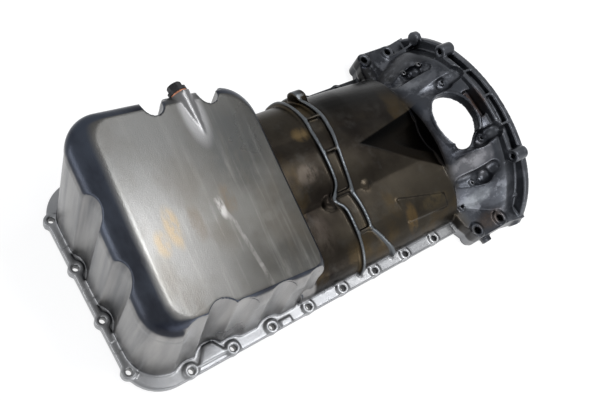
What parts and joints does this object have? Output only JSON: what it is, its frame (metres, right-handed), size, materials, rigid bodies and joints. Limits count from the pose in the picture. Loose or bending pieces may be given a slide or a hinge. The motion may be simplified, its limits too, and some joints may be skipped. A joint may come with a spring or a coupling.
{
  "type": "engine oil pan",
  "caption": "Cast engine oil pan: a deep front sump with a drain plug, a shallow ribbed trough and the lower part of a clutch housing with a mating flange.",
  "frame": {"origin": "middle of the pan's length and width on the gasket face", "axes": "+X to the clutch housing along the crankshaft, +Z away from the engine block, +Y to the drain plug's side"},
  "size_m": [0.53, 0.298, 0.1654],
  "materials": {
    "cast_aluminium": "oily as-cast aluminium, brushed on the sump floor",
    "plug_steel": "black oxide steel",
    "seal_copper": "dull copper"
  },
  "bodies": {
    "root": {"pan_casting": "cast_aluminium", "drain_plug": "plug_steel", "drain_seal_ring": "seal_copper"}
  },
  "joints": []
}
